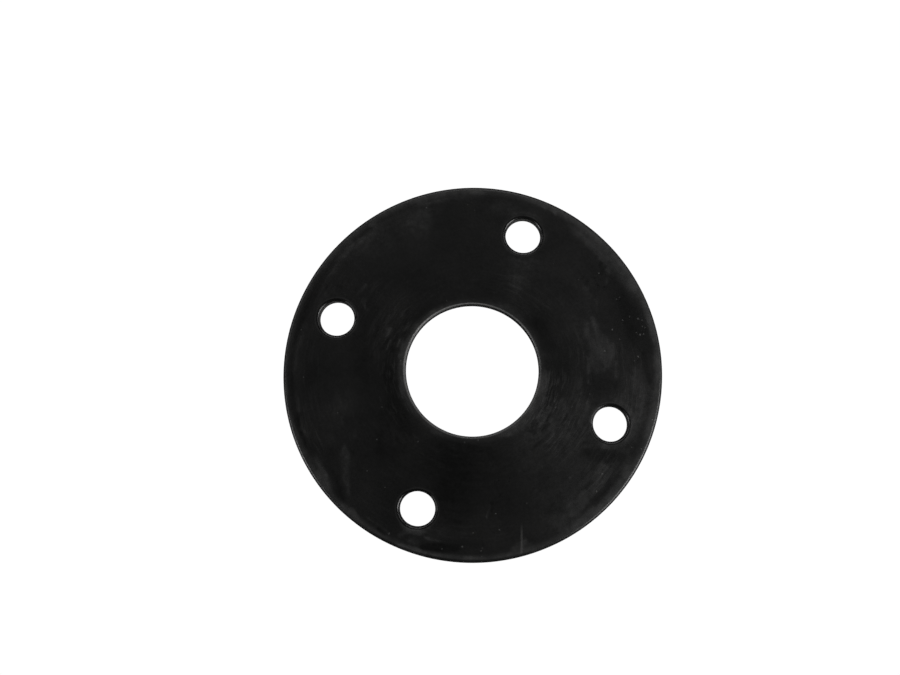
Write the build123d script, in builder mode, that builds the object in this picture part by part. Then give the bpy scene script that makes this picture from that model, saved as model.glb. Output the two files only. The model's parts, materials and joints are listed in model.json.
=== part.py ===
from build123d import *
import os

# Full-face flange gasket, cut as one flat ring of black sheet rubber.
# Frame: millimetres, +Z up through the thickness, origin at the centre of the
# underside, which is the face that lies on the lower flange. The four bolt
# holes straddle the X and Y axes, as bolt holes straddle the centre lines of
# a pipe flange.

# ---- driving dimensions (mm) -------------------------------------------------
OUTER_D = 127.0           # outside diameter, the same as the flange face it covers
BORE_D = 44.7             # central bore, the waterway
BOLT_CIRCLE_D = 98.6      # pitch circle of the bolt holes
BOLT_COUNT = 4
BOLT_HOLE_D = 11.6        # clearance for an M10 or 3/8 in bolt
FIRST_BOLT_ANGLE = 45.0   # degrees from +X: holes sit at 45, 135, 225 and 315
THICKNESS = 4.0           # stock sheet
RIM_EDGE_R = 1.2          # soft rounding of the two outside edges
BORE_EDGE_R = 0.85        # rounding where the bore meets each face
BOLT_EDGE_R = 1.1         # rounding where each punched bolt hole meets each face

# ---- the gasket ---------------------------------------------------------------
with BuildPart() as gasket:
    # The plan outline: a disc, less the bore and the ring of bolt holes.
    with BuildSketch(Plane.XY) as outline:
        Circle(OUTER_D / 2)
        Circle(BORE_D / 2, mode=Mode.SUBTRACT)
        with PolarLocations(BOLT_CIRCLE_D / 2, BOLT_COUNT, start_angle=FIRST_BOLT_ANGLE):
            Circle(BOLT_HOLE_D / 2, mode=Mode.SUBTRACT)
    extrude(amount=THICKNESS)

    # Every sharp edge is a circle on the top or bottom face, so the circles
    # sorted by radius fall into three families: bolt holes, bore and rim.
    sharp = gasket.edges().filter_by(GeomType.CIRCLE).group_by(SortBy.RADIUS)
    bolt_edges, bore_edges, rim_edges = sharp[0], sharp[1], sharp[2]
    fillet(rim_edges, radius=RIM_EDGE_R)
    fillet(bore_edges, radius=BORE_EDGE_R)
    fillet(bolt_edges, radius=BOLT_EDGE_R)

gasket.part.label = "gasket"

# ---- sizes worth knowing ------------------------------------------------------
# The straight cylindrical wall left between the two roundings of each opening.
BORE_WALL = THICKNESS - 2 * BORE_EDGE_R
BOLT_WALL = THICKNESS - 2 * BOLT_EDGE_R
# Rubber left between neighbouring features, the narrowest sections of the ring.
LAND_TO_BORE = (BOLT_CIRCLE_D - BOLT_HOLE_D - BORE_D) / 2
LAND_TO_RIM = (OUTER_D - BOLT_CIRCLE_D - BOLT_HOLE_D) / 2
print("bore wall", round(BORE_WALL, 3), "bolt hole wall", round(BOLT_WALL, 3))
print("land from bolt hole to bore", round(LAND_TO_BORE, 3), "and to rim", round(LAND_TO_RIM, 3))
print("solids", len(gasket.part.solids()), "volume mm3", round(gasket.part.volume, 1))

os.makedirs("parts", exist_ok=True)
export_step(gasket.part, "parts/gasket.step")
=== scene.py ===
"""Looks for the rubber flange gasket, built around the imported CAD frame."""

import json
import math

import bpy
import numpy as np
from mathutils import Matrix, Vector


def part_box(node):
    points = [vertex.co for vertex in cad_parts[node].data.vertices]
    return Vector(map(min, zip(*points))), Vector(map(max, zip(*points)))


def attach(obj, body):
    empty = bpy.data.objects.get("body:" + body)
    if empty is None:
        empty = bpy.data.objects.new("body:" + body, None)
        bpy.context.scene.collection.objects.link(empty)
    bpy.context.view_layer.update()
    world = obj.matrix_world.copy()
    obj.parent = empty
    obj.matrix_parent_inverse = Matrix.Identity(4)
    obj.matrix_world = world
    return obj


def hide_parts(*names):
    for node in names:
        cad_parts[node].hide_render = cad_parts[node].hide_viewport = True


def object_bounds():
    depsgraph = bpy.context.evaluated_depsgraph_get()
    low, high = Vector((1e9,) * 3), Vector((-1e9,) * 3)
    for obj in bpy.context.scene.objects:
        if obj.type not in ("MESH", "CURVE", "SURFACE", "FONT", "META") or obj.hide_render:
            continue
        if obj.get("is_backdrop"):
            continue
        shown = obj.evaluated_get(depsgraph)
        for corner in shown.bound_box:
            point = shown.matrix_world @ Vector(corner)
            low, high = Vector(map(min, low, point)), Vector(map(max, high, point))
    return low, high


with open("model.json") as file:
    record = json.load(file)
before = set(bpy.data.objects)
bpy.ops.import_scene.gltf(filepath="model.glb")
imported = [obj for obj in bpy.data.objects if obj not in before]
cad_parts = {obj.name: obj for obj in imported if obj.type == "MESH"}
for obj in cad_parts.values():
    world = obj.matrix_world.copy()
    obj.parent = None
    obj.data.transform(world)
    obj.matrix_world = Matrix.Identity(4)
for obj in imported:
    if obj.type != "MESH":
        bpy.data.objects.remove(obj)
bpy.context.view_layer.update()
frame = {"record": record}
MM = 0.001
scene = bpy.context.scene
scene.view_settings.view_transform = "Standard"
scene.view_settings.look = "None"

# ------------------------------------------------------------------ sizes
# Everything that is a size comes from the frame: the node's box and the mounts.
mounts = {m["name"]: m for m in frame["record"]["mounts"]}
lo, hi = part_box("gasket")
RIM_R = round((hi.x - lo.x) / 2 / MM, 1)
THICK = round((hi.z - lo.z) / MM, 2)
BORE_R = mounts["bore"]["dims"]["r_mm"]
PITCH_R = mounts["bolt_holes"]["dims"]["pcd_mm"] / 2
HOLE_R = mounts["bolt_holes"]["dims"]["hole_r_mm"]
HOLE_ANGLES = [math.radians(a) for a in (45, 135, 225, 315)]
# How far each edge is rounded, as in the solid.
RIM_EDGE, BORE_EDGE, HOLE_EDGE = 1.2, 0.85, 1.1

# The marks and the lights are laid out as seen from the camera's side, with u
# to the right and v up in the picture; TURN brings that into the part's frame.
TURN = math.radians(-23.93)


def turned(u, v):
    c, s = math.cos(TURN), math.sin(TURN)
    return u * c - v * s, u * s + v * c


# ----------------------------------------------------------------- camera
eye = Vector((5.804, -39.934, 351.290))
aim = Vector((-7.277, 11.070, 4.0))
back = (eye - aim).normalized()
right0 = Vector((0, 1, 0)).cross(back).normalized()
up0 = back.cross(right0)
roll = math.radians(0.263)
right = math.cos(roll) * right0 + math.sin(roll) * up0
up = back.cross(right)
look = Matrix((right, up, back)).transposed().to_4x4()
cam_data = bpy.data.cameras.new("camera")
cam_data.sensor_width = 36.0
cam_data.lens = 1042.0 / 900.0 * 36.0
cam_data.clip_start, cam_data.clip_end = 0.01, 20.0
cam = bpy.data.objects.new("camera", cam_data)
scene.collection.objects.link(cam)
cam.matrix_world = (
    Matrix.Rotation(TURN, 4, "Z") @ Matrix.Translation(eye * MM) @ look
)
scene.camera = cam


# ------------------------------------------------------------------ noise
def hashed(ix, iy, seed):
    """A repeatable value from 0 to 1 for each lattice point."""
    n = (
        ix.astype(np.int64) * 374761393
        + iy.astype(np.int64) * 668265263
        + seed * 2147483647
    ) & 0xFFFFFFFF
    n = ((n ^ (n >> 13)) * 1274126177) & 0xFFFFFFFF
    n = n ^ (n >> 16)
    return (n & 0xFFFFFF) / float(0xFFFFFF)


def noise(x, y, size, seed):
    """Smooth value noise from -1 to 1 whose blobs are about size across."""
    x, y = x / size, y / size
    ix, iy = np.floor(x), np.floor(y)
    fx, fy = x - ix, y - iy
    fx, fy = fx * fx * (3 - 2 * fx), fy * fy * (3 - 2 * fy)
    a, b = hashed(ix, iy, seed), hashed(ix + 1, iy, seed)
    c, d = hashed(ix, iy + 1, seed), hashed(ix + 1, iy + 1, seed)
    return 2 * ((a + (b - a) * fx) * (1 - fy) + (c + (d - c) * fx) * fy) - 1


def fractal(x, y, size, seed, octaves=3):
    total, gain = 0, 1
    for k in range(octaves):
        total = total + gain * noise(x, y, size / 2**k, seed + 17 * k)
        gain *= 0.5
    return total / 1.5


def ease(x, a, b):
    """0 below a, 1 above b, smooth between."""
    t = np.clip((x - a) / (b - a), 0, 1)
    return t * t * (3 - 2 * t)


# ----------------------------------------------------------- gasket mesh
# Each face is a polar grid of quads about the bore. Round each bolt hole a
# window of that grid is taken out and refilled with rings about the hole, so
# every edge of the part has its own clean loops.
TURNS = 560  # quads round the ring
HALF = 17  # half the window's width round the ring, in quads
WINDOW = 9.0  # half the window's width along the radius, in mm
HOLE_RINGS = 8
# Where things lie on the bake's map: a face's radius and centre, and the rows
# that the walls are laid out in.
DISC = 0.286
FACE_AT = {True: (0.292, 0.708), False: (0.708, 0.292)}
ROWS_AT, ROW = 0.607, 0.031

verts, quads, places = [], [], []


def add(x, y, z):
    verts.append((x, y, z))
    return len(verts) - 1


def spans(start, stop, count):
    return list(np.linspace(start, stop, count + 1))[1:]


def face_rings(fine):
    inner, outer = BORE_R + BORE_EDGE, RIM_R - RIM_EDGE
    radii = [inner]
    radii += spans(inner, PITCH_R - WINDOW, 33 if fine else 8)
    first = len(radii) - 1
    radii += spans(PITCH_R - WINDOW, PITCH_R + WINDOW, 2 * HALF)
    last = len(radii) - 1
    radii += spans(PITCH_R + WINDOW, outer, 9 if fine else 3)
    return radii, first, last


def face(z, top):
    """One flat face. Returns its bore loop, its rim loop and the four hole loops."""
    radii, first, last = face_rings(top)
    centre = [round(a / (2 * math.pi) * TURNS) for a in HOLE_ANGLES]
    inside = {}
    for h, c in enumerate(centre):
        for k in range(c - HALF + 1, c + HALF):
            inside[k % TURNS] = h
    grid = []
    for i, r in enumerate(radii):
        row = []
        for k in range(TURNS):
            if first < i < last and k in inside:
                row.append(None)
            else:
                a = 2 * math.pi * k / TURNS
                row.append(add(r * math.cos(a), r * math.sin(a), z))
        grid.append(row)
    made = []
    for i in range(len(radii) - 1):
        for k in range(TURNS):
            m = (k + 1) % TURNS
            covered = first <= i < last and any(
                c - HALF <= k < c + HALF for c in centre
            )
            if not covered:
                made.append((grid[i][k], grid[i + 1][k], grid[i + 1][m], grid[i][m]))
    hole_loops = []
    for h, c in enumerate(centre):
        ks = [(c + d) % TURNS for d in range(-HALF, HALF + 1)]
        loop = [grid[first][k] for k in reversed(ks)]
        loop += [grid[i][ks[0]] for i in range(first + 1, last)]
        loop += [grid[last][k] for k in ks]
        loop += [grid[i][ks[-1]] for i in range(last - 1, first, -1)]
        cx = PITCH_R * math.cos(HOLE_ANGLES[h])
        cy = PITCH_R * math.sin(HOLE_ANGLES[h])
        outer = loop
        start = [verts[v] for v in loop]
        for s in range(1, HOLE_RINGS + 1):
            t = 1 - (1 - s / HOLE_RINGS) ** 1.25
            ring = []
            for x, y, _ in start:
                a = math.atan2(y - cy, x - cx)
                ex = cx + (HOLE_R + HOLE_EDGE) * math.cos(a)
                ey = cy + (HOLE_R + HOLE_EDGE) * math.sin(a)
                ring.append(add(x + (ex - x) * t, y + (ey - y) * t, z))
            for k in range(len(ring)):
                m = (k + 1) % len(ring)
                made.append((ring[k], outer[k], outer[m], ring[m]))
            outer = ring
        hole_loops.append(outer)
    cu, cv = FACE_AT[top]
    side = 1 if top else -1
    for q in made:
        q = q if top else tuple(reversed(q))
        quads.append(q)
        places.append(
            [
                (
                    cu + side * verts[v][0] / RIM_R * DISC,
                    cv + verts[v][1] / RIM_R * DISC,
                )
                for v in q
            ]
        )
    return grid[0], grid[-1], hole_loops


def turn_of(points, cx, cy):
    """The way a loop runs about its centre: +1 counter-clockwise."""
    (x0, y0, _), (x1, y1, _) = verts[points[0]], verts[points[1]]
    return 1 if (x0 - cx) * (y1 - cy) - (x1 - cx) * (y0 - cy) > 0 else -1


def wall(top, bottom, cx, cy, radius, edge, outward, bends, straight, at, pieces=1):
    """The wall between a top and a bottom loop: a rounding, the straight cut and a rounding. outward is +1 on the rim and -1 in an opening. at is its first row on the bake's map and how far along that row it starts."""
    steps = [(edge, THICK, 0.0)]
    for s in range(1, bends + 1):
        a = math.pi / 2 * s / bends
        steps.append(
            (edge * (1 - math.sin(a)), THICK - edge * (1 - math.cos(a)), edge * a)
        )
    run = edge * math.pi / 2
    flat = THICK - 2 * edge
    for s in range(1, straight):
        steps.append((0.0, THICK - edge - flat * s / straight, run + flat * s / straight))
    for s in range(bends, -1, -1):
        a = math.pi / 2 * s / bends
        steps.append(
            (edge * (1 - math.sin(a)), edge * (1 - math.cos(a)), 2 * run + flat - edge * a)
        )
    angles = [math.atan2(verts[v][1] - cy, verts[v][0] - cx) for v in top]
    loops = [top]
    for inset, z, _ in steps[1:-1]:
        r = radius - outward * inset
        loops.append(
            [add(cx + r * math.cos(a), cy + r * math.sin(a), z) for a in angles]
        )
    loops.append(bottom)
    way = turn_of(top, cx, cy) * outward
    n = len(top)
    scale = DISC / RIM_R
    length = 2 * math.pi * radius / pieces * scale
    row, shift = at
    for j in range(len(loops) - 1):
        a, b = loops[j], loops[j + 1]
        down = [steps[j][2] * scale, steps[j + 1][2] * scale]
        for k in range(n):
            m = (k + 1) % n
            piece = int(k * pieces / n)
            t0 = k * pieces / n - piece
            t1 = (k + 1) * pieces / n - piece
            if way < 0:
                t0, t1 = 1 - t0, 1 - t1
            u0 = ROWS_AT + shift + t0 * length
            u1 = ROWS_AT + shift + t1 * length
            v = ROWS_AT + (row + piece) * ROW + 0.021
            q = (a[k], b[k], b[m], a[m])
            p = [(u0, v - down[0]), (u0, v - down[1]), (u1, v - down[1]), (u1, v - down[0])]
            if way < 0:
                q, p = tuple(reversed(q)), list(reversed(p))
            quads.append(q)
            places.append(p)


top_bore, top_rim, top_holes = face(THICK, True)
low_bore, low_rim, low_holes = face(0.0, False)
wall(top_rim, low_rim, 0, 0, RIM_R, RIM_EDGE, 1, 7, 4, (0, 0.0), 5)
wall(top_bore, low_bore, 0, 0, BORE_R, BORE_EDGE, -1, 7, 4, (5, 0.0), 2)
for h, a in enumerate(HOLE_ANGLES):
    wall(
        top_holes[h], low_holes[h], PITCH_R * math.cos(a), PITCH_R * math.sin(a),
        HOLE_R, HOLE_EDGE, -1, 8, 4, (7 + h // 2, 0.19 * (h % 2)),
    )

co = np.array(verts, float)
x, y, z = co.T.copy()
r = np.hypot(x, y)
ang = np.arctan2(y, x)
holes = [(PITCH_R * math.cos(a), PITCH_R * math.sin(a)) for a in HOLE_ANGLES]
to_hole = np.min([np.hypot(x - cx, y - cy) for cx, cy in holes], axis=0) - HOLE_R

# Relief. Cut sheet is never quite flat: the face waves a little, and it falls
# away towards the edges that the cutter pressed. The top stays at or under the
# solid's top, and the underside stays flat on the floor.
high = z / THICK
sink = 0.045 * (0.5 + 0.5 * fractal(x, y, 26.0, 5)) + 0.010 * (
    0.5 + 0.5 * fractal(x, y, 5.0, 9)
)
sink += 0.11 * ease(r, RIM_R - 5.5, RIM_R) ** 2
sink += 0.06 * (1 - ease(r, BORE_R, BORE_R + 3.0)) ** 2
sink += 0.05 * (1 - ease(to_hole, 0.0, 2.2)) ** 2
z = z - sink * high
# The ring was cut and punched by hand-set tools, so the rim and the bore are not
# quite round and the holes sit a little off their places. Each row is a push
# outwards in mm: an even part, then cosine and sine parts for 1, 2 and 3 waves
# round the opening, as seen in the picture.
ideal = co.copy()
seen = ang - TURN


def push(turn, even, c1, s1, c2=0.0, s2=0.0, c3=0.0, s3=0.0):
    return (
        even
        + c1 * np.cos(turn) + s1 * np.sin(turn)
        + c2 * np.cos(2 * turn) + s2 * np.sin(2 * turn)
        + c3 * np.cos(3 * turn) + s3 * np.sin(3 * turn)
    )


RIM_PUSH = (0.06, 0.02, -0.087, 0.114, 0.089, -0.026, -0.121)
BORE_PUSH = (-0.035, 0.114, 0.107, 0.09, -0.081, 0.018, 0.04)
HOLE_PUSH = (
    # hole 1 to 4, starting at +X +Y and turning towards +Y
    (0.06, -0.235, 0.191, 0.051, -0.075),
    (0.07, 0.164, -0.003, 0.046, -0.005),
    (0.005, -0.124, 0.034, 0.082, -0.03),
    (-0.055, 0.067, -0.148, -0.059, -0.031),
)
edge_on = ease(r, RIM_R - 7.0, RIM_R - 1.0)
bore_on = 1 - ease(r, BORE_R + 1.0, BORE_R + 8.0)
wander = 0.03 * fractal(40 * np.cos(ang), 40 * np.sin(ang), 16.0, 31)
bore_wander = 0.02 * fractal(20 * np.cos(ang), 20 * np.sin(ang), 9.0, 37)
grow = edge_on * (push(seen, *RIM_PUSH) + wander) + bore_on * (
    push(seen, *BORE_PUSH) + bore_wander
)
shift_x, shift_y = grow * x / r, grow * y / r
for (cx, cy), waves in zip(holes, HOLE_PUSH):
    away = np.hypot(x - cx, y - cy)
    near = 1 - ease(away, HOLE_R + 1.3, HOLE_R + 5.0)
    out = near * push(np.arctan2(y - cy, x - cx) - TURN, *waves)
    shift_x += out * (x - cx) / away
    shift_y += out * (y - cy) / away
# The punch left part of the bottom and of the right hole's upper rounding narrower.
# Each row is the hole, the middle and the reach of that part in degrees, as seen
# in the picture, and how much wider it is in mm.
HOLE_DISH = ((2, 90, 45, -0.25), (3, -20, 45, -0.15))
for nth, mid, reach, wider in HOLE_DISH:
    cx, cy = holes[nth]
    away = np.hypot(x - cx, y - cy)
    off = np.abs((np.degrees(np.arctan2(y - cy, x - cx) - TURN) - mid + 180) % 360 - 180)
    out = wider * (1 - ease(off, 0.4 * reach, reach)) * (high > 0.5)
    gap = away - HOLE_R
    out = out * np.clip(gap / HOLE_EDGE, 0, 1) * (1 - ease(gap, HOLE_EDGE, 4.0))
    shift_x += out * (x - cx) / away
    shift_y += out * (y - cy) / away
x, y = x + shift_x, y + shift_y

me = bpy.data.meshes.new("gasket_ring")
me.from_pydata(
    [(a * MM, b * MM, c * MM) for a, b, c in zip(x.tolist(), y.tolist(), z.tolist())],
    [],
    quads,
)
me.update()
me.shade_smooth()
uv = me.uv_layers.new(name="OFBake")
uv.data.foreach_set("uv", np.array(places, np.float32).ravel())
ring = bpy.data.objects.new("gasket_ring", me)
scene.collection.objects.link(ring)

# ------------------------------------------------------------------ marks
# What handling has left on the face, as strokes written out one by one. Each
# stroke is a shape, not a picture. film is a pale dusty bloom where positive and
# clean dark rubber where negative; rub is where the face was rubbed round in
# arcs about the bore; grit is where specks cling.
c, s = math.cos(TURN), math.sin(TURN)
u0, v0 = x * c + y * s, -x * s + y * c  # the picture's right and up
U = u0 + 0.55 * fractal(u0, v0, 6.0, 51) + 0.30 * fractal(u0, v0, 1.7, 53, 2)
V = v0 + 0.55 * fractal(u0, v0, 6.0, 52) + 0.30 * fractal(u0, v0, 1.7, 54, 2)
R, A = np.hypot(U, V), np.degrees(np.arctan2(V, U))


def dab(u, v, angle, along, across, amount):
    """A soft oval."""
    a = math.radians(angle)
    p = (U - u) * math.cos(a) + (V - v) * math.sin(a)
    q = -(U - u) * math.sin(a) + (V - v) * math.cos(a)
    d = (p / along) ** 2 + (q / across) ** 2
    return amount * np.exp(-(d**1.3))


def turn_off(mid):
    return np.abs((A - mid + 180) % 360 - 180)


def arc(start, stop, radius, half, amount, soft=5.0):
    """A soft band along a circle about the bore, from start to stop in degrees."""
    mid, reach = (start + stop) / 2, (stop - start) / 2
    along = 1 - ease(turn_off(mid), reach - soft, reach + soft)
    return amount * along * np.exp(-(np.abs((R - radius) / half) ** 2.6))


def band(start, stop, radius, half, amount, soft=0.5, ends=3.0):
    """The same with a firm edge, thinning away towards both ends."""
    mid, reach = (start + stop) / 2, (stop - start) / 2
    along = 1 - ease(turn_off(mid), reach - ends, reach + ends)
    d = np.abs(R - radius) - half * along
    return FIRM * amount * along * (1 - ease(d, -1.6 * soft, 1.6 * soft))


def line(points, amount, soft=0.4):
    """A firm stroke through points of (u, v, half width)."""
    best = np.full(len(U), 1e9)
    if len(points) == 1:
        points = points * 2
    for (ua, va, ha), (ub, vb, hb) in zip(points[:-1], points[1:]):
        du, dv = ub - ua, vb - va
        t = ((U - ua) * du + (V - va) * dv) / max(du * du + dv * dv, 1e-9)
        t = np.clip(t, 0, 1)
        d = np.hypot(U - ua - t * du, V - va - t * dv) - (ha + (hb - ha) * t)
        best = np.minimum(best, d)
    return FIRM * amount * (1 - ease(best, -1.5 * soft, 1.5 * soft))


def halo(u, v, start, stop, near, far, amount, soft=0.35, ends=14.0):
    """Part of a ring about a bolt hole at u, v: near and far from its edge."""
    away = np.hypot(u0 - u, v0 - v) - HOLE_R
    off = np.abs((np.degrees(np.arctan2(v0 - v, u0 - u)) - (start + stop) / 2 + 180) % 360 - 180)
    along = 1 - ease(off, (stop - start) / 2 - ends, (stop - start) / 2 + ends)
    across = ease(away, near - soft, near + soft) * (1 - ease(away, far - 2 * soft, far + 2 * soft))
    return FIRM * amount * along * across


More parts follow.
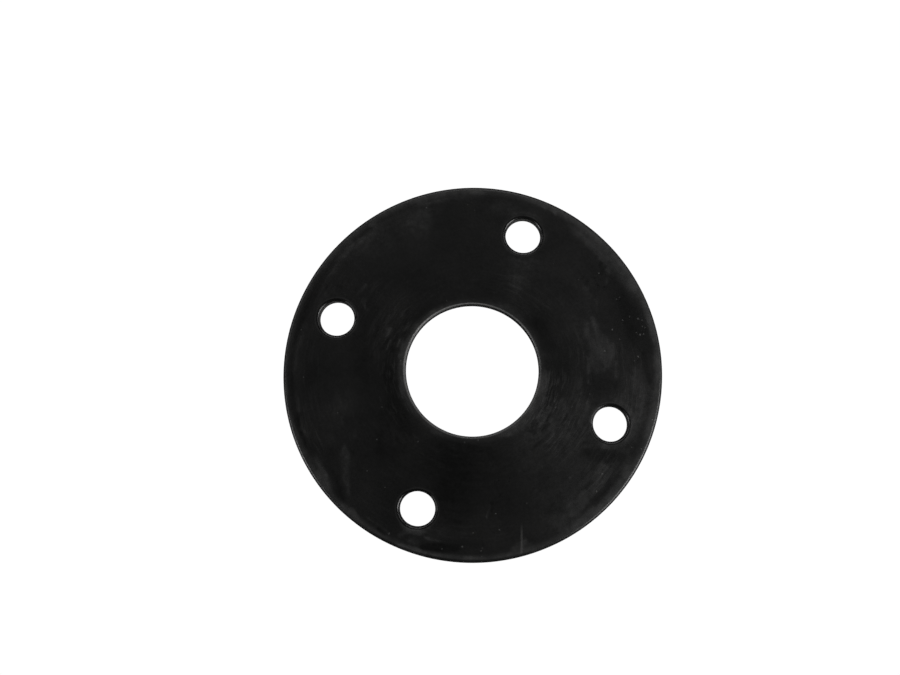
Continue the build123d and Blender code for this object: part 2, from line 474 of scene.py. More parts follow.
FIRM = 0.68  # how strongly all the firm strokes show
film = np.zeros(len(U))
for stroke in (
    # the right and the lower right, which were handled most
    dab(27, -27, 45, 27, 16, 0.42),
    dab(34, -6, 80, 16, 9, 0.12),
    dab(20, -35, 30, 13, 9, -0.24),
    dab(38, 22, 60, 13, 8, 0.24),
    arc(-40, -14, 57.5, 2.6, 0.28),
    dab(56.4, -7, 87, 12, 4.0, 0.36),
    line([(54.5, 0, 1.0), (54.6, -6, 1.6), (55.2, -12, 1.2)], 0.20, 0.8),
    line([(39.2, 2, 0.3), (39.0, -4.5, 0.35)], 0.55),
    line([(38.7, -8, 0.2), (38.2, -13, 0.35)], 0.45),
    line([(39.9, -1.6, 0.4), (40.1, -4.2, 0.4)], -0.9),
    line([(38.4, -5, 0.5), (38.6, -9, 0.6)], -0.5),
    line([(43.2, -32.5, 1.5), (41.4, -37.5, 1.8), (38.0, -41, 1.7), (34, -45.5, 2.2)], 0.62, 0.8),
    line([(43.2, -33.5, 0.3), (41.0, -36.5, 0.4)], 0.6),
    line([(42.0, -36.8, 0.6), (40.6, -38.8, 0.7)], 0.5),
    line([(39.4, -37.2, 0.5), (37.6, -38.9, 0.5)], -0.75),
    line([(45.2, -37.6, 0.7), (42.6, -41.6, 1.0), (40.4, -44.5, 0.6)], -0.38, 0.6),
    line([(49.2, -34.6, 0.7), (46.6, -38.2, 0.8)], -0.38, 0.5),
    dab(29, -50, 28, 7, 3.0, 0.30),
    # a blotch beside the rim, with a tail above it
    dab(43.5, 5.2, 70, 5.4, 4.2, 0.36),
    dab(42.3, 9, 105, 9, 5, 0.26),
    line([(41.4, 9.0, 1.6), (43.6, 6.0, 2.8), (44.6, 3.4, 2.2)], 0.36, 2.0),
    line([(40.9, 17.2, 0.7), (41.8, 14.0, 1.1), (42.8, 11.5, 1.1)], 0.45, 0.6),
    line([(38.8, 15.5, 0.7), (38.4, 12.0, 1.0)], 0.32, 0.6),
    line([(48.4, 2.6, 0.35), (47.9, -2.6, 0.6)], 0.50, 0.6),
    line([(43.4, 2.0, 0.4), (43.9, 1.0, 0.3)], -0.6),
    line([(46.6, 9.0, 0.5), (47.2, 7.6, 0.4)], 0.4),
    # a smear along the upper right of the rim
    band(22, 57, 60.7, 2.9, 1.02, 0.9, 5.0),
    band(55, 73, 61.9, 1.3, 0.75, 0.5, 4.0),
    line([(28.4, 54.7, 0.6), (28.9, 53.9, 0.5)], 1.0),
    dab(53, 32, -58, 5, 2.6, 0.35),
    dab(43, 42.5, -48, 6, 3.0, 0.30),
    line([(43.6, 36.1, 0.5), (43.2, 35.6, 0.4)], -1.0),
    line([(44.3, 34.0, 0.5), (43.9, 33.4, 0.4)], -1.0),
    line([(46.0, 33.8, 0.7), (46.4, 32.6, 0.6)], 0.6),
    band(8, 24, 62.2, 1.2, 0.75, 0.5, 4.0),
    # a patch of dark flecks under it
    line([(39.1, 30.2, 0.6), (38.8, 29.2, 0.4)], -0.8),
    line([(38.2, 31.8, 0.3), (37.2, 31.0, 0.3)], -0.6),
    line([(41.4, 31.3, 0.5)], -0.7),
    line([(42.8, 28.6, 0.4), (42.1, 29.6, 0.3)], -0.6),
    line([(44.7, 28.2, 0.5)], -0.7),
    line([(40.2, 27.2, 0.4)], -0.5),
    line([(45.9, 31.0, 0.4), (45.5, 29.8, 0.4)], 0.5),
    line([(42.6, 24.6, 0.35), (42.7, 22.4, 0.3)], 0.45),
    # the top
    dab(38, 32, 45, 9, 7, 0.16),
    dab(22, 36, 0, 9, 5, 0.20),
    dab(15, 30, 78, 8, 3.6, 0.20),
    line([(12.2, 33.0, 0.6), (15.6, 31.6, 0.5)], 0.30),
    line([(13.0, 29.4, 0.5), (17.0, 27.6, 0.5)], 0.32),
    line([(16.4, 32.2, 0.4), (20.2, 29.8, 0.5)], 0.28),
    line([(14.5, 37.8, 1.5), (20.5, 37.4, 1.3)], 0.25, 1.4),
    dab(-26, 50, 32, 17, 8, 0.27),
    dab(-16, 50, 90, 7, 5, 0.17),
    line([(-35.4, 50.4, 0.6), (-33.2, 50.0, 0.8)], 0.45),
    line([(-38.2, 44.6, 0.7), (-33.8, 48.0, 1.0)], 0.28, 0.7),
    line([(-15.9, 44.8, 0.4), (-15.0, 49.5, 0.9), (-15.8, 52.5, 0.6)], 0.14, 1.2),
    line([(-11.8, 43, 0.5), (-12.9, 47.5, 0.8), (-12.2, 50.5, 0.6), (-13.8, 54, 0.4)], -0.22, 1.1),
    band(85, 109, 61.0, 1.7, 0.58, 0.5, 3.0),
    band(82, 92, 59.6, 1.2, -0.30, 0.6, 3.0),
    # the left
    line([(-50.4, 31.0, 0.7), (-47.8, 34.4, 1.1), (-44.6, 39.0, 1.4), (-41.5, 43.0, 1.2)], 0.32, 0.9),
    line([(-51.2, 29.6, 0.25), (-49.6, 25.4, 0.35)], 0.45),
    line([(-50.6, 26.6, 0.3), (-49.4, 29.0, 0.3)], -0.6),
    line([(-57.4, 13.5, 1.2), (-55.6, 20, 1.3), (-52.4, 28.5, 1.1)], -0.45, 0.8),
    line([(-37.9, 27.4, 0.35), (-36.4, 29.6, 0.55)], 0.42),
    line([(-39.3, 28.9, 0.4), (-39.8, 27.8, 0.35)], -0.6),
    line([(-44.6, 28.5, 0.8), (-46.4, 29.4, 0.5)], -0.45),
    line([(-36.2, 24.2, 0.3), (-36.6, 21.4, 0.3)], 0.45),
    line([(-35.8, 23.0, 0.2), (-35.9, 21.4, 0.2)], -0.7),
    line([(-38.4, 20.2, 0.9), (-38.9, 14.0, 1.0)], 0.25, 0.8),
    line([(-31.6, 6.0, 0.4), (-30.6, 9.6, 0.5), (-28.9, 13.6, 0.5)], 0.55),
    line([(-28.6, 14.4, 0.7)], 0.45),
    line([(-28.8, 7.6, 0.35), (-27.2, 10.4, 0.4), (-26.6, 13.4, 0.3)], 0.45),
    line([(-24.6, 9.0, 0.25), (-23.6, 11.8, 0.35)], 0.6),
    line([(-25.0, 16.2, 0.4), (-23.4, 18.6, 0.4)], 0.45),
    line([(-23.0, 16.5, 0.8), (-21.8, 19.8, 0.6)], -0.7),
    line([(-30.2, 10.0, 0.5), (-30.0, 7.6, 0.5)], -0.5),
    band(162, 182, 59.2, 0.8, 0.50, 0.5, 3.0),
    line([(-58.2, -9.2, 0.35), (-57.5, -13.8, 0.5)], 0.55),
    line([(-57.6, -17.6, 0.4), (-56.0, -22.0, 0.6)], 0.40),
    line([(-58.8, -16.6, 0.5), (-57.0, -21.4, 0.45), (-55.2, -25.2, 0.4)], -0.95, 0.3),
    line([(-56.6, -14.6, 0.5), (-54.8, -19.8, 0.3)], -0.5),
    line([(-58.1, -15.6, 0.3), (-57.3, -19.0, 0.35)], -0.9, 0.2),
    line([(-56.7, -20.6, 0.3), (-55.9, -23.4, 0.3)], -0.8, 0.2),
    line([(-57.1, -17.0, 0.2), (-55.8, -20.6, 0.25)], 0.5, 0.25),
    line([(-54.0, -22.8, 0.9), (-53.4, -27.0, 0.8)], -0.45, 0.6),
    dab(-45, -12, 75, 12, 7, 0.18),
    line([(-44.8, -10, 0.8), (-43.6, -17.5, 1.0)], 0.12, 1.4),
    dab(-37, -24, 60, 8, 5, 0.20),
    line([(-38.6, -22.6, 0.7)], 0.30),
    line([(-42.2, -25.6, 0.5), (-42.3, -28.3, 1.9), (-42.2, -31.5, 1.4), (-41.4, -36.5, 1.0), (-40.4, -41.0, 0.5)], 0.42, 0.6),
    line([(-39.2, -27.4, 0.5), (-38.9, -28.8, 0.4)], -0.8),
    line([(-38.2, -30.5, 0.4), (-37.0, -33.5, 0.5)], -0.4),
    line([(-30.2, -20.4, 0.5), (-29.6, -27.0, 1.6)], -0.45, 0.7),
    line([(-26.9, -17.9, 0.5), (-25.4, -24.8, 0.35)], 0.42),
    line([(-25.6, -20.0, 0.6), (-22.6, -23.8, 1.0)], 0.38),
    line([(-23.8, -18.6, 0.9), (-21.0, -21.6, 1.0)], -0.40),
    band(-153, -138, 60.6, 2.3, 0.52, 0.7, 5.0),
    line([(-51.6, -30.4, 0.4), (-50.6, -31.8, 0.5)], 0.40),
    line([(-48.8, -36.2, 0.4), (-47.4, -38.6, 0.6)], 0.35),
    band(-139, -124, 61.8, 1.2, 0.40, 0.5, 4.0),
    line([(-49.8, -33.4, 0.5), (-48.0, -35.6, 0.5)], 0.55),
    line([(-47.2, -27.0, 1.4), (-46.8, -31.5, 2.0), (-44.6, -37.6, 1.6), (-42.8, -42.6, 1.0)], -0.50, 0.8),
    line([(-45.8, -32.8, 0.5), (-45.0, -33.6, 0.4)], 0.35),
    line([(-39.6, -46.6, 0.9), (-37.6, -49.0, 1.0)], 0.55),
    # the foot of the face
    line([(-34.2, -48.6, 0.3), (-32.0, -50.0, 0.35)], 0.55),
    line([(-31.0, -51.0, 0.4), (-27.6, -53.4, 0.45)], 0.50),
    line([(-30.6, -52.4, 0.6), (-28.6, -53.8, 0.5)], -0.7),
    line([(-23.6, -54.6, 0.5), (-20.6, -52.6, 0.9), (-17.4, -53.0, 0.9)], 0.60, 0.6),
    line([(-20.2, -56.2, 1.0), (-18.2, -57.0, 0.9)], 0.45, 0.7),
    line([(-24.0, -57.6, 0.7), (-19.5, -59.3, 0.9), (-15.4, -60.7, 0.9)], 0.85),
    line([(-15.4, -54.8, 0.35), (-10.2, -56.4, 0.4)], 0.60),
    line([(-9.6, -53.2, 1.6), (-3.0, -53.8, 1.5)], 0.42, 1.1),
    line([(-15.6, -58.6, 1.2), (-12.0, -58.4, 1.5), (-4.6, -58.6, 1.2)], -0.95),
    line([(-2.6, -57.2, 0.8), (5.0, -57.8, 0.9)], -0.45, 0.7),
    band(-104, -88, 61.6, 0.75, 0.55, 0.4, 3.0),
    band(-90, -76, 61.9, 0.75, 0.32, 0.4, 3.0),
    line([(13.6, -58.4, 0.9), (17.8, -57.4, 2.0), (20.8, -58.6, 0.9)], 0.80),
    line([(13.0, -59.8, 0.5), (12.2, -60.6, 0.4)], 0.5),
    line([(18.8, -56.2, 0.4), (19.2, -55.8, 0.3)], -0.9),
    dab(17.0, -53, 90, 4, 3.0, 0.20),
    arc(-60, -30, 61.2, 1.6, 0.60),
    arc(-24, 6, 61.6, 1.1, 0.36),
    line([(6.2, -44.6, 0.3), (5.5, -49.0, 0.4)], 1.10),
    line([(6.8, -43.6, 0.3), (6.5, -46.8, 0.3)], -0.9),
    line([(16.0, -33.0, 0.5), (16.6, -34.2, 0.5)], 0.30),
    line([(21.6, -38.6, 0.5), (21.5, -40.0, 0.4)], 0.25),
    # round the bolt holes
    halo(46.0, -17.7, -115, 30, 1.2, 2.7, 0.95),
    halo(46.0, -17.7, 20, 75, 1.7, 2.6, 0.60),
    halo(17.7, 46.0, 40, 150, 2.0, 2.8, 0.35),
    halo(17.7, 46.0, -30, 40, 1.1, 2.2, 0.45),
    halo(-17.7, -46.0, -150, -60, 1.2, 2.4, 0.40),
    # clean, darker rubber
    dab(-5, -37, 88, 15, 9, -0.85),
    dab(-22, -38, 60, 14, 9, -0.35),
    dab(-54, 0, 90, 14, 6, -0.20),
    dab(-25, -18, 58, 15, 8, -0.55),
    dab(0, -28, 0, 14, 4, -0.45),
    line([(-9, -38, 1.5), (-6, -42, 2.5)], -0.35, 1.2),
    line([(4.6, -25.5, 0.8), (6.4, -28.6, 0.5)], -0.35, 0.5),
    dab(-4, 43, 90, 16, 8, -0.16),
    arc(14, 42, 27.0, 3.2, -0.50),
    dab(53, 19, -74, 10, 3.6, -0.75),
    line([(57.6, 5.6, 0.7), (58.2, 1.0, 0.6), (59.3, -4.4, 0.4)], -0.90),
    line([(53.0, 12, 1.6), (53.6, 9, 1.4)], -0.35, 0.8),
    line([(37.4, -27.2, 1.1), (40.6, -28.4, 1.7), (45.6, -29.0, 1.7), (50.0, -28.8, 1.2)], -0.78, 0.7),
    line([(37.6, -26.4, 0.6), (38.4, -27.6, 0.6)], -0.45),
    line([(43.8, -30.8, 0.35), (44.4, -29.4, 0.35)], -0.5),
    line([(46.6, -29.8, 0.3), (47.4, -28.4, 0.4)], -0.6),
    line([(42.0, -28.6, 0.2), (43.0, -27.0, 0.25)], 0.5),
    line([(44.8, -29.4, 0.2), (45.4, -28.4, 0.2)], 0.5),
    line([(53.1, -27.6, 0.35)], -1.0),
    dab(44, -6, 10, 6, 3, -0.35),
    arc(160, 218, 28.2, 2.6, -0.50),
    arc(118, 140, 25.6, 1.8, -0.30),
    # broad, faint changes of tone
    dab(-38, 43, 48, 12, 5, 0.05),
    dab(11, -43, -75, 16, 6, -0.56),
    dab(34, -40, 42, 9, 5, 0.22),
    dab(20, -32, 40, 8, 6, 0.08),
    dab(26, 25, -45, 7, 5, 0.14),
    dab(37, 23, -60, 10, 4, -0.10),
    dab(50, -8, 85, 7, 3.0, 0.26),
    dab(29, -7, 77, 6, 5, -0.26),
    dab(28, -16, 60, 6, 4, 0.18),
    dab(30, 1, 90, 4, 3, -0.34),
    dab(-37, 9.5, 75, 7, 7, -0.30),
    dab(-36, -1, 90, 6, 8, -0.28),
    dab(-14, -51, 15, 8, 4, 0.22),
    arc(132, 158, 27.5, 3.5, -0.25),
    arc(292, 318, 26.0, 2.5, -0.08),
    arc(10, 70, 24.6, 1.6, 0.26),
    arc(236, 300, 24.0, 1.3, 0.22),
    arc(98, 142, 61.5, 1.8, -0.12),
    arc(156, 176, 61.2, 1.6, -0.45),
    arc(66, 84, 57.0, 3.0, 0.30),
    line([(-36.0, 20.5, 0.8), (-37.5, 23.5, 0.8)], 0.3, 0.6),
    # beside the bore's edge
    arc(-60, -2, 24.0, 1.7, 0.78, 8.0),
    arc(152, 222, 24.2, 1.7, 0.44, 8.0),
    arc(110, 172, 23.5, 1.0, 0.50, 8.0),
    arc(222, 250, 24.0, 1.5, 0.30, 8.0),
    arc(188, 222, 24.2, 1.6, 0.30, 8.0),
    arc(144, 163, 60.8, 1.6, -0.40),
    band(-183, -160, 61.2, 1.2, -0.80, 0.35, 5.0),
):
    film = film + stroke


def region(start, stop, near, far):
    """1 in one part of the face, between two angles and two radii, 0 elsewhere."""
    mid, reach = (start + stop) / 2, (stop - start) / 2
    along = 1 - ease(turn_off(mid), reach - 10, reach + 10)
    return along * ease(R, near - 3, near + 3) * (1 - ease(R, far - 3, far + 3))


film = film * (
    1
    + 0.45 * region(128, 205, 34, 70)
    + 0.40 * region(215, 262, 44, 70)
    - 0.28 * region(18, 76, 48, 70)
    - 0.20 * region(-75, -14, 34, 70)
)

# Short ticks along the turn, each at an angle and a radius: length, half width.
for angle, radius, length, half, amount in (
    (-24, 26.0, 3.0, 0.34, 0.9), (-27, 27.4, 4.0, 0.30, -0.9), (-29, 28.6, 3.6, 0.36, 1.0),
    (-31, 30.2, 3.4, 0.30, -0.8), (-33, 27.0, 3.0, 0.32, 0.8), (-36, 29.4, 4.2, 0.34, 0.9),
    (-38, 31.4, 3.6, 0.30, -0.9), (-40, 26.2, 3.2, 0.34, 0.9), (-43, 28.2, 3.6, 0.30, -0.8),
    (-45, 30.6, 3.2, 0.34, 0.8), (-18, 29.6, 3.2, 0.30, 0.7), (-14, 27.0, 3.0, 0.32, -0.8),
    (-10, 25.6, 3.0, 0.34, 0.8), (-34, 33.6, 4.0, 0.34, 0.8), (-28, 34.8, 3.6, 0.30, -0.7),
    (-41, 34.4, 3.4, 0.32, 0.8), (-48, 33.0, 3.0, 0.30, -0.7), (-21, 31.8, 3.4, 0.30, 0.6),
(146, 27.0, 3.0, 0.34, 1.1), (151, 29.2, 3.4, 0.34, -1.0), (155, 31.0, 3.0, 0.36, 1.1),
    (160, 26.4, 2.8, 0.34, 1.0), (163, 29.6, 3.4, 0.36, 1.2), (167, 32.0, 3.0, 0.32, -1.0),
    (172, 27.6, 3.4, 0.34, 0.9), (149, 33.4, 3.0, 0.34, 0.8), (158, 34.8, 3.2, 0.32, -0.8),
    (178, 30.0, 3.6, 0.32, 0.6), (186, 27.4, 3.0, 0.32, -0.8), (140, 30.6, 2.6, 0.34, 0.7),
    (157, 28.0, 2.6, 0.32, -1.0), (160, 30.6, 2.8, 0.32, -1.0), (152, 26.2, 2.4, 0.32, -0.9),
    (154, 28.6, 2.4, 0.30, 0.9), (165, 27.8, 2.4, 0.30, -0.9), (169, 30.2, 2.8, 0.32, 0.8),
):
    reach = math.degrees(length / 2 / radius)
    ends = [math.radians(angle - reach), math.radians(angle + reach)]
    (ca, sa), (cb, sb) = [(math.cos(e), math.sin(e)) for e in ends]
    film = film + line(
        [(radius * ca, radius * sa, half), (radius * cb, radius * sb, half)], amount, 0.3
    )

rub = 0.07 * (1 - ease(R, 34, 50)) + 0.04
for stroke in (
    arc(138, 172, 27.5, 5.0, 0.42),
    arc(172, 216, 27.0, 5.0, 0.60),
    arc(216, 286, 29.0, 6.0, 0.20),
    arc(132, 172, 33.0, 5.0, 0.40),
    arc(186, 275, 41.0, 6.0, 0.12),
    arc(228, 290, 54.0, 5.0, 0.14),
    arc(-45, 0, 27.5, 5.0, 0.90),
    arc(-46, -24, 38.0, 6.0, 0.70),
    arc(-47, -31, 54.0, 5.0, 0.70),
    arc(38, 78, 31.0, 7.0, 0.26),
    arc(-24, 24, 37.0, 5.0, 0.36),
    arc(-22, 10, 52.5, 5.5, 0.50),
    arc(134, 168, 44.0, 5.5, 0.26),
    arc(142, 196, 56.0, 5.0, 0.26),
    arc(-175, -150, 57.0, 3.0, 0.40),
):
    rub = np.maximum(rub, stroke)

grit = 0.10 + 0 * U
for stroke in (
    dab(55, 15, -75, 8, 4, 0.5),
    dab(46, 9, 75, 7, 6, 0.4),
    dab(-28, -33, 30, 14, 11, 0.35),
    dab(1, -55, 0, 12, 5, 0.3),
):
    grit = grit + stroke

# The underside was only ever laid down, so it has a fainter set of its own.
under = (
    0.30 * fractal(u0, v0, 30.0, 81)
    + 0.35 * np.exp(-(((R - 44) / 9) ** 2)) * (0.5 + 0.5 * noise(u0, v0, 19.0, 83))
)
upper = ease(high, 0.35, 0.65)
film = film * upper + under * (1 - upper)
rub = rub * upper + (0.10 + 0.25 * np.exp(-(((R - 34) / 8) ** 2))) * (1 - upper)
grit = grit * upper + 0.12 * (1 - upper)

# Where each point would be on a perfect ring, so that wear follows the edges.
plan = me.attributes.new("plan", "FLOAT_VECTOR", "POINT")
plan.data.foreach_set("vector", ideal.astype(np.float32).ravel())
for name, values in (("film", film), ("rub", rub), ("grit", grit)):
    layer = me.attributes.new(name, "FLOAT", "POINT")
    layer.data.foreach_set("value", values.astype(np.float32))

# --------------------------------------------------------------- material
mat = bpy.data.materials.new("black_rubber")
mat.use_nodes = True
tree = mat.node_tree
tree.nodes.clear()


def node(kind, inputs=(), **settings):
    made = tree.nodes.new(kind)
    for key, value in settings.items():
        setattr(made, key, value)
    for key, value in dict(inputs).items():
        if isinstance(value, bpy.types.NodeSocket):
            tree.links.new(value, made.inputs[key])
        else:
            made.inputs[key].default_value = value
    return made


def calc(op, *values):
    return node("ShaderNodeMath", enumerate(values), operation=op).outputs[0]


def plus(*values):
    total = values[0]
    for value in values[1:]:
        total = calc("ADD", total, value)
    return total


def times(*values):
    total = values[0]
    for value in values[1:]:
        total = calc("MULTIPLY", total, value)
    return total


def rise(value, a, b, low=0.0, high=1.0):
    """low below a, high above b, smooth between."""
    made = node(
        "ShaderNodeMapRange",
        {"Value": value, "From Min": a, "From Max": b, "To Min": low, "To Max": high},
        interpolation_type="SMOOTHSTEP",
    )
    return made.outputs["Result"]


def vector(a, b, c):
    return node("ShaderNodeCombineXYZ", {0: a, 1: b, 2: c}).outputs[0]


def cloud(at, size, seed, detail=3.0, rough=0.55):
    """Noise from 0 to 1 with blobs about size millimetres across."""
    made = node(
        "ShaderNodeTexNoise",
        {"Vector": at, "W": seed, "Scale": 1.0 / size, "Detail": detail, "Roughness": rough},
        noise_dimensions="4D",
    )
    return made.outputs["Fac"]


def mark(name):
    return node("ShaderNodeAttribute", attribute_name=name).outputs["Fac"]


# Places on the part, in millimetres.
P = node("ShaderNodeAttribute", attribute_name="plan").outputs["Vector"]
xyz = node("ShaderNodeSeparateXYZ", {0: P}).outputs
px, py, pz = xyz[0], xyz[1], xyz[2]
pr = calc("SQRT", plus(times(px, px), times(py, py)))
from_rim = calc("SUBTRACT", RIM_R, pr)
from_bore = calc("SUBTRACT", pr, BORE_R)
corner = PITCH_R * math.sqrt(0.5)
hx = calc("SUBTRACT", calc("ABSOLUTE", px), corner)
hy = calc("SUBTRACT", calc("ABSOLUTE", py), corner)
from_hole = calc("SUBTRACT", calc("SQRT", plus(times(hx, hx), times(hy, hy))), HOLE_R)
depth = calc(
    "SUBTRACT", THICK / 2, calc("ABSOLUTE", calc("SUBTRACT", pz, THICK / 2))
)  # how far under the nearer face

# The picture's right and up.
su = plus(times(px, math.cos(TURN)), times(py, math.sin(TURN)))
sv = plus(times(px, -math.sin(TURN)), times(py, math.cos(TURN)))

# Coordinates that run round the bore, a little bent, so that blobs of noise
# become strokes along the turn: along and across are their sizes in mm.
bent = plus(pr, times(1.8, calc("SUBTRACT", cloud(P, 7.0, 11.0, 2.0), 0.5)))
cos_a, sin_a = calc("DIVIDE", px, pr), calc("DIVIDE", py, pr)


def strokes(along, across, seed, detail=2.0):
    at = vector(times(cos_a, 27.0 / along), times(sin_a, 27.0 / along), times(bent, 1 / across))
    return cloud(at, 1.0, seed, detail, 0.55)


mottle = cloud(P, 15.0, 1.0, 4.0, 0.6)
patch = cloud(P, 4.5, 2.0, 5.0, 0.62)
crumb = cloud(P, 1.5, 12.0, 3.0, 0.6)
speckle = cloud(P, 0.8, 3.0, 3.0, 0.6)
dash = strokes(4.4, 0.76, 4.0)
groove = strokes(9.0, 0.42, 8.0, 3.0)
wide = strokes(10.0, 1.4, 5.0, 3.0)
grain = cloud(P, 0.22, 6.0, 2.0, 0.6)


def ragged(value):
    """A stroke's strength with its edge broken up: soft low down, firm higher up."""
    torn = plus(
        value,
        times(0.55, calc("SUBTRACT", patch, 0.5)),
        times(0.35, calc("SUBTRACT", crumb, 0.5)),
    )
    return times(
        plus(
            times(0.66, calc("MAXIMUM", value, 0.0)),
            times(0.36, rise(torn, 0.05, 0.55), rise(value, 0.0, 0.45)),
        ),
        rise(patch, 0.25, 0.75, 0.70, 1.30),
        rise(crumb, 0.25, 0.75, 0.74, 1.26),
        rise(wide, 0.30, 0.70, 0.76, 1.24),
    )


film_at, rub_at, grit_at = mark("film"), mark("rub"), mark("grit")
bloom = ragged(film_at)
clean = calc("MINIMUM", ragged(times(film_at, -1.0)), 1.25)
arcs = times(
    rub_at,
    plus(
        rise(dash, 0.54, 0.63),
        times(0.45, rise(groove, 0.50, 0.64)),
        times(0.30, rise(wide, 0.48, 0.66)),
    ),
)
wiped = times(rub_at, rise(dash, 0.36, 0.45, 1.0, 0.0))

# The roundings stayed clean and shiny where the edges were pressed. Wear shows as
# a wide soft band inside the rim, thin rings about the holes and a pale bore lip,
# which also carries a painted highlight and painted shade.
near_hole = calc("LESS_THAN", from_hole, 2.5)
rim_wear = times(rise(from_rim, 0.9, 3.2, 1.0, 0.0), rise(patch, 0.3, 0.7, 0.5, 1.35))
rim_round = rise(from_rim, 0.75, 1.35, 1.0, 0.0)
bore_wear = times(rise(from_bore, 0.5, 2.9, 1.0, 0.0), rise(patch, 0.3, 0.7, 0.6, 1.25))
# Painted light on the lip: a painted highlight makes it palest at the upper left, and
# painted shade at the upper right darkens its lower part so that only its top shows pale.
upper_left = calc("DIVIDE", plus(times(su, -0.342), times(sv, 0.940)), pr)
upper_right = calc("DIVIDE", plus(times(su, 0.5), times(sv, 0.866)), pr)
painted_shade_side = rise(upper_right, 0.1, 0.9)
bore_lip_wear_and_painted_light = times(
    rise(plus(from_bore, rise(upper_left, 0.4, 0.95, 0.0, 0.13)), 0.55, 1.02, 1.0, 0.0),
    rise(speckle, 0.3, 0.7, 0.8, 1.2),
    plus(rise(upper_left, -0.9, 0.6, 0.55, 1.15), rise(upper_left, 0.6, 0.97, 0.0, 0.80)),
    calc("SUBTRACT", 1.0, times(painted_shade_side, rise(from_bore, 0.20, 0.48, 0.92, 0.0))),
)
hole_ring = times(
    rise(from_hole, 0.95, 1.25), rise(from_hole, 1.3, 1.8, 1.0, 0.0), rise(patch, 0.3, 0.7, 0.4, 1.4)
)
hole_round = rise(from_hole, 0.85, 1.20, 1.0, 0.0)
wall_at = node(
    "ShaderNodeMix",
    {0: near_hole, 2: rise(depth, 0.40, 0.75), 3: rise(depth, 0.38, 0.65)},
    data_type="FLOAT",
).outputs[0]

# Three places where a hole's rounding was left dull by the punch.
dull = None
for u, v in ((-40.9, 21.4), (-11.7, -43.6), (40.6, -14.6)):
    away = node(
        "ShaderNodeVectorMath", {0: P, 1: (*turned(u, v), THICK)}, operation="DISTANCE"
    ).outputs["Value"]
    here = rise(away, 1.6, 3.6, 1.0, 0.0)
    dull = here if dull is None else plus(dull, here)
dull = times(dull, hole_round)

# Specks of dust, each a small round dot in some of the cells.
cells = node(
    "ShaderNodeTexVoronoi", {"Vector": P, "Scale": 0.55}, voronoi_dimensions="3D"
)
pick = node("ShaderNodeSeparateColor", {0: cells.outputs["Color"]}).outputs
dot = rise(cells.outputs["Distance"], 0.06, 0.15, 1.0, 0.0)
chosen = calc("LESS_THAN", pick[0], times(grit_at, 0.14))
speck = times(dot, chosen, plus(0.25, times(0.6, pick[1])))

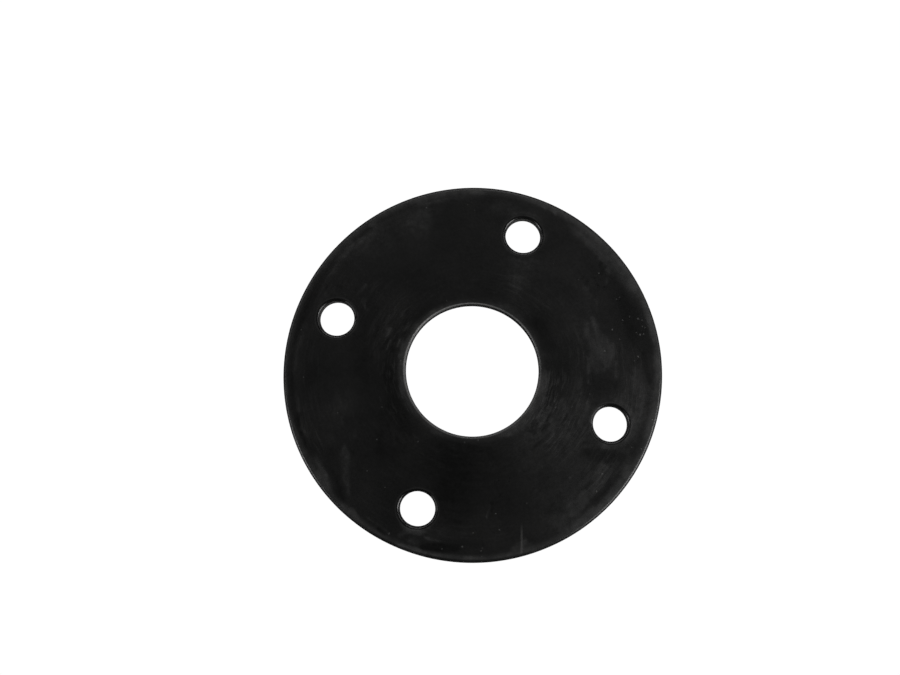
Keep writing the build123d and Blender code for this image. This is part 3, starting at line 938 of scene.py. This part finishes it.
# Nicks and crumbs that stand out, each at u, v in the picture with a radius.
light, dark = speck, None
for u, v, radius, amount in (
    (47.2, 13.7, 0.34, 0.9), (55.8, 17.4, 0.30, 0.9), (57.1, 16.9, 0.24, 0.7),
    (50.7, 16.9, 0.26, 0.8), (53.0, 18.2, 0.20, 0.5), (56.4, 12.0, 0.38, 0.9),
    (57.5, 12.2, 0.26, 0.7), (55.2, 12.7, 0.24, 0.6), (58.0, 14.4, 0.22, 0.6),
    (55.6, 4.6, 0.30, 0.9), (44.5, 6.5, 0.26, 0.9), (49.6, 10.4, 0.20, 0.6),
    (48.8, 24.1, 0.22, 0.6), (49.8, 24.7, 0.22, 0.6), (43.0, -34.3, 0.34, 0.6),
    (41.1, -40.0, 0.26, 0.8), (59.6, -16.4, 0.26, 0.9), (55.8, -26.0, 0.24, 0.7),
    (52.8, -25.5, 0.24, 0.5), (-31.5, -23.2, 0.28, 0.55), (-34.6, -33.6, 0.26, 0.5),
    (-28.6, -39.0, 0.22, 0.5), (-27.0, -54.0, 0.36, 0.6), (-17.8, -23.9, 0.34, 0.4),
    (2.2, -23.5, 0.30, 0.5), (-2.3, -24.3, 0.26, 0.4), (-3.0, -58.1, 0.30, 0.8),
    (-9.6, -58.9, 0.26, 0.6), (3.2, -59.5, 0.26, 0.7), (3.6, -58.6, 0.24, 0.5),
    (8.0, -47.4, 0.26, 0.7), (9.2, -52.6, 0.28, 0.7), (0.6, -53.7, 0.28, 0.5),
    (18.2, -44.0, 0.30, 0.3), (-30.0, -12.4, 0.26, 0.4), (-44.8, -14.4, 0.26, 0.4),
    (-23.9, 3.2, 0.26, 0.5), (-15.6, 56.2, 0.28, 0.5), (1.0, 55.2, 0.26, 0.3),
    (28.0, -12.4, 0.30, 0.4), (32.4, -35.6, 0.34, 0.2), (-1.4, 57.2, 0.26, 0.3),
    (53.0, 20.2, 0.36, -1.0), (53.0, 17.3, 0.28, -1.0), (50.6, 15.9, 0.26, -1.0),
    (57.2, 16.1, 0.30, -1.0), (57.2, 13.1, 0.34, -1.0), (55.7, 12.2, 0.24, -0.8),
    (56.0, 6.9, 0.34, -1.0), (55.2, 3.2, 0.32, -1.0), (49.8, 23.7, 0.30, -0.9),
    (59.0, 15.4, 0.24, -0.8), (-30.4, -24.4, 0.34, -0.8), (-36.0, -33.4, 0.30, -0.7),
    (-28.6, -39.9, 0.30, -0.8), (-33.8, -36.2, 0.30, -0.6), (0.8, -54.3, 0.28, -0.9),
    (29.9, -13.0, 0.34, -0.7), (27.1, -10.7, 0.30, -0.7), (35.3, -18.2, 0.40, -0.5),
    (48.0, -7.8, 0.36, -0.8), (59.4, -8.6, 0.50, -0.6), (58.4, -7.6, 0.34, -0.6),
    (12.6, -35.8, 0.42, -1.0), (12.4, -37.0, 0.42, -1.0), (8.8, -36.6, 0.40, -0.9),
    (7.6, -37.0, 0.38, -0.9), (9.4, -41.4, 0.40, -0.8), (7.0, -31.8, 0.40, -0.8),
    (-26.2, 12.0, 0.26, -0.6), (-28.8, 8.6, 0.30, -0.6), (-57.8, 12.3, 0.46, -0.5),
    (12.2, 59.8, 0.40, -0.5), (8.6, 59.4, 0.46, -0.5), (-2.0, 37.2, 0.40, -0.3),
    (22.8, 25.8, 0.46, -0.5), (-1.0, -37.0, 0.50, -0.3), (-55.1, -25.0, 0.40, -0.6),
    (39.1, 30.2, 0.42, -0.8), (38.3, 28.9, 0.32, -0.7), (37.7, 31.7, 0.36, -0.7),
    (41.4, 31.3, 0.46, -0.8), (42.6, 28.7, 0.44, -0.8), (44.7, 28.2, 0.42, -0.7),
    (40.2, 27.2, 0.34, -0.6), (40.7, 29.4, 0.30, -0.6), (43.4, 30.6, 0.34, -0.6),
):
    at = (*turned(u, v), THICK)
    away = node("ShaderNodeVectorMath", {0: P, 1: at}, operation="DISTANCE").outputs["Value"]
    here = rise(away, 0.45 * radius, 1.25 * radius, abs(amount), 0.0)
    if amount > 0:
        light = plus(light, here)
    else:
        dark = here if dark is None else plus(dark, here)
dark = calc("MINIMUM", dark, 1.0)

# One upright scratch at the foot.
off = calc("ABSOLUTE", plus(su, -16.5, times(0.10, calc("SUBTRACT", patch, 0.5))))
scratch = times(
    rise(off, 0.12, 0.50, 1.0, 0.0),
    rise(sv, -61.0, -60.0),
    rise(sv, -55.0, -49.5, 1.0, 0.0),
    rise(pz, THICK - 0.4, THICK - 0.2),
)

BODY, BLOOM, ARCS = 0.0056, 0.0110, 0.0160
shade = times(
    calc("SUBTRACT", 1.0, times(0.55, clean)),
    calc("SUBTRACT", 1.0, times(0.48, wiped)),
    calc("SUBTRACT", 1.0, times(0.65, dark)),
)
tone = times(
    BODY,
    rise(mottle, 0.2, 0.8, 0.80, 1.20),
    rise(patch, 0.2, 0.8, 0.86, 1.14),
    rise(crumb, 0.25, 0.75, 0.90, 1.10),
    rise(speckle, 0.25, 0.75, 0.88, 1.12),
)
tone = times(
    shade,
    plus(
        tone,
        times(BLOOM, bloom, rise(speckle, 0.25, 0.75, 0.90, 1.10)),
        times(ARCS, arcs),
        times(0.0166, rim_wear),
        times(0.013, bore_wear),
        times(0.012, hole_ring),
    ),
)
# The bore lip adds pale wear all round, plus its painted highlight at the upper left and painted shade at
# the upper right.
tone = plus(tone, times(0.09, bore_lip_wear_and_painted_light), times(0.066, light), times(0.032, scratch))
pressed = calc("MAXIMUM", times(0.75, rim_round), hole_round)
tone = node(
    "ShaderNodeMix", {0: pressed, 2: tone, 3: 0.0028}, data_type="FLOAT"
).outputs[0]
# Painted shade: the bore's wall is painted darker towards the upper right, where no light reaches it from
# below.
bore_wall_with_painted_shade = rise(painted_shade_side, 0.0, 1.0, 0.040, 0.012)
hole_wall = rise(sv, 0.0, 10.0, 0.044, 0.070)
wall_tone = times(
    node("ShaderNodeMix", {0: near_hole, 2: bore_wall_with_painted_shade, 3: hole_wall}, data_type="FLOAT").outputs[0],
    rise(speckle, 0.3, 0.7, 0.7, 1.3),
)
tone = node(
    "ShaderNodeMix", {0: wall_at, 2: tone, 3: wall_tone}, data_type="FLOAT"
).outputs[0]
tint = node(
    "ShaderNodeMix",
    {0: rise(mottle, 0.35, 0.65), 6: (1.0, 1.01, 1.0, 1), 7: (1.02, 1.0, 0.975, 1)},
    data_type="RGBA",
).outputs[2]
colour = node("ShaderNodeVectorMath", {0: tint, "Scale": tone}, operation="SCALE").outputs[0]

rough = plus(
    0.37,
    times(0.14, calc("MINIMUM", bloom, 1.5)),
    times(-0.04, clean),
    times(0.04, rim_wear),
    times(-0.04, rim_round),
    times(-0.11, hole_round),
    times(0.30, dull),
    times(0.12, wall_at),
    rise(mottle, 0.25, 0.75, -0.025, 0.025),
    rise(speckle, 0.25, 0.75, -0.02, 0.02),
)

# Height in millimetres: the calendered grain, the rub arcs and the cut walls.
around = vector(times(cos_a, 60.0), times(sin_a, 60.0), times(pz, 9.0))
cut = cloud(around, 2.6, 7.0, 3.0, 0.6)
height = plus(
    times(0.004, grain),
    times(0.010, speckle),
    times(0.014, arcs),
    times(-0.010, wiped),
    times(0.030, cut, wall_at),
    times(0.05, light),
    times(-0.03, dark),
    times(-0.02, scratch),
)
bump = node(
    "ShaderNodeBump", {"Strength": 1.0, "Distance": 0.001, "Height": height}
).outputs[0]

bsdf = node(
    "ShaderNodeBsdfPrincipled",
    {"Base Color": colour, "Roughness": rough, "Normal": bump, "IOR": 1.56},
)
node("ShaderNodeOutputMaterial", {"Surface": bsdf.outputs["BSDF"]})
me.materials.append(mat)

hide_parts("gasket")
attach(ring, "root")


# ------------------------------------------------------------------ stage
def floor_disc(name, height, radius, wall=0.0):
    """A flat disc, with an upright wall round it where wall is its height."""
    data = bpy.data.meshes.new(name)
    n = 96
    turns = [2 * math.pi * k / n for k in range(n)]
    levels = [height, height + wall] if wall else [height]
    rim = [(radius * math.cos(t), radius * math.sin(t), level) for level in levels for t in turns]
    faces = [tuple(range(n))]
    if wall:
        faces += [(k, (k + 1) % n, n + (k + 1) % n, n + k) for k in range(n)]
    data.from_pydata(rim, [], faces)
    data.update()
    ob = bpy.data.objects.new(name, data)
    scene.collection.objects.link(ob)
    ob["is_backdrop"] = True
    return ob


# The floor that the camera sees is an even white sweep. A second disc just
# under it is the one that bounces the softboxes' light back up.
sweep = floor_disc("floor_sweep", -0.0002, 6.0, 6.0)
white = bpy.data.materials.new("white_sweep")
white.use_nodes = True
white.node_tree.nodes.clear()
glow = white.node_tree.nodes.new("ShaderNodeEmission")
glow.inputs["Color"].default_value = (1, 1, 1, 1)
glow.inputs["Strength"].default_value = 1.02
end = white.node_tree.nodes.new("ShaderNodeOutputMaterial")
white.node_tree.links.new(glow.outputs["Emission"], end.inputs["Surface"])
sweep.data.materials.append(white)
sweep.visible_diffuse = False
sweep.visible_glossy = False
sweep.visible_transmission = False
sweep.visible_shadow = False

bounce = floor_disc("floor_bounce", -0.0004, 1.5)
pale = bpy.data.materials.new("pale_floor")
pale.use_nodes = True
pb = pale.node_tree.nodes["Principled BSDF"]
pb.inputs["Base Color"].default_value = (0.8, 0.8, 0.8, 1)
pb.inputs["Roughness"].default_value = 0.9
pb.inputs["Specular IOR Level"].default_value = 0.0
bounce.data.materials.append(pale)
bounce.visible_camera = False
bounce.visible_glossy = False

world = bpy.data.worlds.new("world")
scene.world = world
world.use_nodes = True
world.node_tree.nodes["Background"].inputs["Color"].default_value = (1, 1, 1, 1)
world.node_tree.nodes["Background"].inputs["Strength"].default_value = 0.03


def softbox(name, u, v, height, width, depth, power, at=(0, 0)):
    data = bpy.data.lights.new(name, "AREA")
    data.shape = "RECTANGLE"
    data.size, data.size_y = width, depth
    data.energy = power
    ob = bpy.data.objects.new(name, data)
    scene.collection.objects.link(ob)
    px, py = turned(u, v)
    tx, ty = turned(*at)
    ob.location = (px, py, height)
    ob.rotation_mode = "QUATERNION"
    aim_at = Vector((tx, ty, 0)) - Vector((px, py, height))
    ob.rotation_quaternion = aim_at.to_track_quat("-Z", "Y")
    ob.visible_camera = False
    return ob


softbox("key_right", 0.445, -0.203, 0.30, 0.40, 0.20, 1.75)
softbox("fill_left", -0.52, -0.18, 0.30, 0.22, 0.22, 0.80)
softbox("top_back", 0.0, 0.60, 0.42, 0.70, 0.22, 0.95)
softbox("top_left", -0.52, 0.30, 0.34, 0.36, 0.24, 0.40)
softbox("top_right", 0.52, 0.30, 0.34, 0.36, 0.24, 0.40)

a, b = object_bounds()
